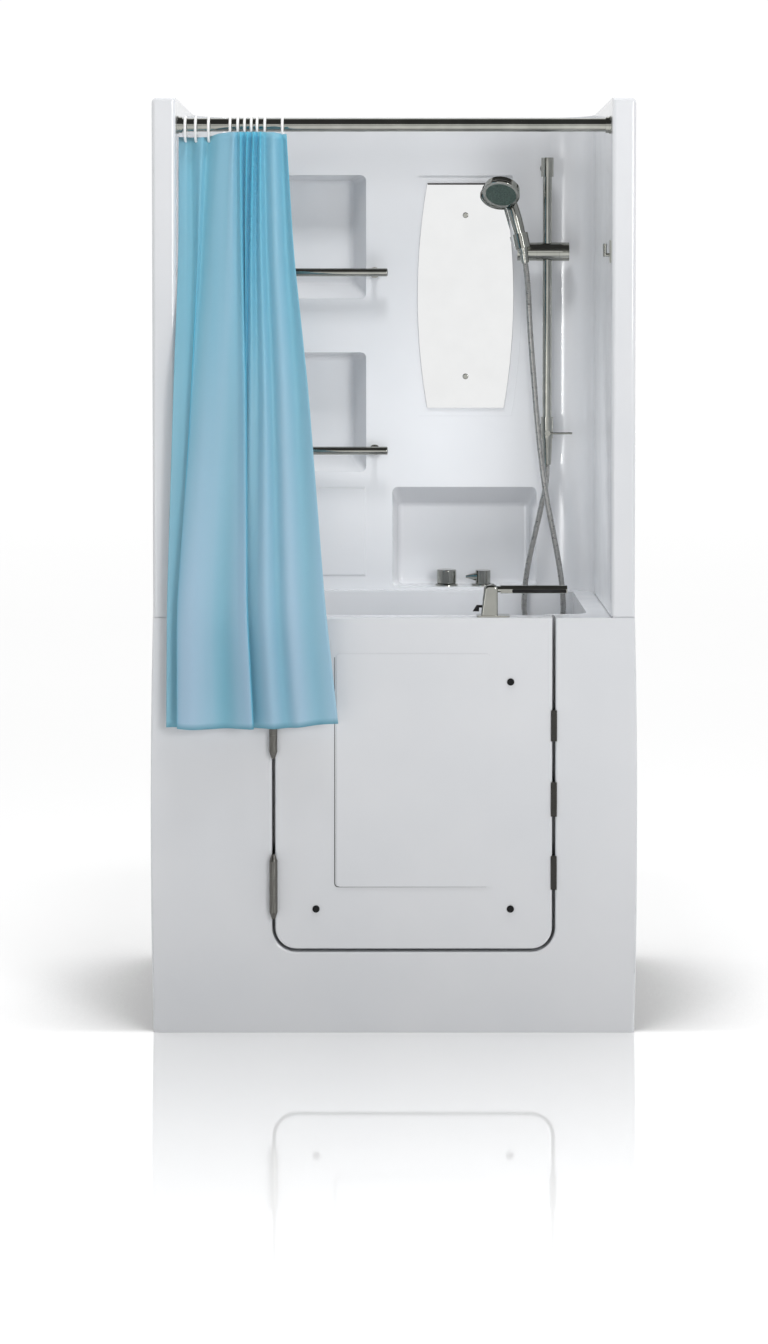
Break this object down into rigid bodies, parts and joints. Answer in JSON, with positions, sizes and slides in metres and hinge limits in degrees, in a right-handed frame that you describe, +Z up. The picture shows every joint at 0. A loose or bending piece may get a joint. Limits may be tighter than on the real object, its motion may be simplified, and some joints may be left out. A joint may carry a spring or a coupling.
{
  "type": "walk-in bathtub with shower surround",
  "caption": "Sit-in bathtub with a swinging door in its apron, a shower surround with niches and mirror, a curtain on a rod, taps and a hand shower on a slide bar.",
  "frame": {"origin": "on the floor, under the middle of the unit's box", "axes": "+X to the right seen from the front, +Y from the front to the back wall, +Z up"},
  "size_m": [1.0866, 0.78, 2.085],
  "materials": {
    "acrylic": "glossy white moulded acrylic",
    "frame_steel": "galvanised steel tube",
    "black_rubber": "matt black rubber",
    "black_plastic": "satin black plastic",
    "hinge_steel": "satin stainless steel",
    "chrome": "polished chrome",
    "hose_metal": "satin metal hose",
    "spray_plastic": "grey rubber nozzle plate",
    "ring_plastic": "white plastic",
    "curtain_cloth": "light blue semi-sheer cloth",
    "mirror_glass": "silvered glass",
    "brass": "plain brass",
    "waste_plastic": "white waste pipe"
  },
  "bodies": {
    "tub": {"tub_shell": "acrylic", "front_apron": "acrylic", "left_skirt": "acrylic", "right_skirt": "acrylic", "door_jamb": "acrylic", "left_wall": "acrylic", "right_wall": "acrylic", "back_wall": "acrylic", "base_frame": "frame_steel", "seat_frame": "frame_steel", "foot_studs": "frame_steel", "foot_nuts": "frame_steel", "foot_pads": "black_rubber", "hinge_jamb_leaves": "hinge_steel", "hinge_pins": "hinge_steel", "mirror_screws": "chrome", "shelf_rails": "chrome", "rail_posts": "chrome", "curtain_hook": "chrome", "curtain_rod": "chrome", "rod_flanges": "chrome", "slide_bar": "chrome", "upper_bracket": "chrome", "lower_bracket": "chrome", "outlet_nut": "chrome", "tap_roses": "chrome", "drain_flange": "chrome", "overflow_plate": "chrome", "shower_hose": "hose_metal", "mirror": "mirror_glass", "mixer_valve": "brass", "bracket_nuts": "brass", "riser_pipe": "brass", "waste_trap": "waste_plastic", "overflow_pipe": "waste_plastic"},
    "door": {"door_outer_shell": "acrylic", "door_inner_shell": "acrylic", "door_bolts": "black_plastic", "door_seal": "black_rubber", "hinge_door_leaves": "hinge_steel", "door_bumpers": "black_rubber", "latch_tower": "chrome", "latch_pivot_pin": "chrome"},
    "latch_lever": {"latch_lever": "chrome"},
    "latch_release": {"latch_release": "black_plastic"},
    "curtain": {"curtain": "curtain_cloth", "curtain_rings": "ring_plastic"},
    "slider": {"slider_clamp": "chrome", "shower_hose_top": "hose_metal"},
    "clamp_knob": {"slider_knob": "chrome"},
    "holder": {"handset_holder": "chrome", "handset_body": "chrome", "spray_face": "spray_plastic", "handset_nut": "chrome"},
    "spray_ring": {"spray_ring": "chrome"},
    "diverter": {"diverter_knob": "chrome"},
    "mixer": {"mixer_lever": "chrome"},
    "overflow_knob": {"overflow_knob": "chrome"},
    "drain_plug": {"drain_plug": "chrome"},
    "shutoff": {"shutoff_lever": "chrome"}
  },
  "joints": [
    {"name": "door_swing", "type": "hinge", "parent": "tub", "child": "door", "pos_m": [-0.2685, -0.3405, 0.5], "axis": [0, 0, -1], "range_deg": [0, 100], "deforming": ["curtain"]},
    {"name": "latch_lift", "type": "hinge", "parent": "door", "child": "latch_lever", "pos_m": [0.214, -0.3025, 0.991], "axis": [0, -1, 0], "range_deg": [0, 85]},
    {"name": "release_press", "type": "slide", "parent": "door", "child": "latch_release", "axis": [1, 0, 0], "range_m": [0, 0.0035], "stiffness_N_per_m": 500},
    {"name": "curtain_draw", "type": "slide", "parent": "tub", "child": "curtain", "axis": [1, 0, 0], "range_m": [0, 0.6]},
    {"name": "slider_height", "type": "slide", "parent": "tub", "child": "slider", "axis": [0, 0, 1], "range_m": [-0.3, 0.15], "deforming": ["shower_hose"]},
    {"name": "clamp_turn", "type": "hinge", "parent": "slider", "child": "clamp_knob", "pos_m": [0.412, 0.24, 1.757], "axis": [1, 0, 0], "range_deg": [0, 180]},
    {"name": "holder_tilt", "type": "hinge", "parent": "slider", "child": "holder", "pos_m": [0.325, 0.24, 1.757], "axis": [1, 0, 0], "range_deg": [-15, 15], "deforming": ["shower_hose_top"]},
    {"name": "spray_turn", "type": "hinge", "parent": "holder", "child": "spray_ring", "pos_m": [0.2575, 0.1875, 1.892], "axis": [-0.1699, -0.6397, -0.7496], "range_deg": [-40, 40]},
    {"name": "diverter_turn", "type": "hinge", "parent": "tub", "child": "diverter", "pos_m": [0.13, 0.336, 0.96], "axis": [0, 0, 1], "range_deg": [0, 90]},
    {"name": "mixer_turn", "type": "hinge", "parent": "tub", "child": "mixer", "pos_m": [0.22, 0.336, 0.96], "axis": [0, 0, 1], "range_deg": [-45, 45]},
    {"name": "overflow_turn", "type": "hinge", "parent": "tub", "child": "overflow_knob", "pos_m": [0.15, 0.25, 0.822], "axis": [0, -1, 0], "range_deg": [0, 90]},
    {"name": "plug_lift", "type": "slide", "parent": "tub", "child": "drain_plug", "axis": [0, 0, 1], "range_m": [0, 0.01]},
    {"name": "shutoff_turn", "type": "hinge", "parent": "tub", "child": "shutoff", "pos_m": [0.372, 0.215, 1.317], "axis": [0, -1, 0], "range_deg": [0, 90]}
  ],
  "couplings": [
    {"joint": "plug_lift", "follows": "overflow_turn", "m_per_rad": 0.0063662}
  ]
}
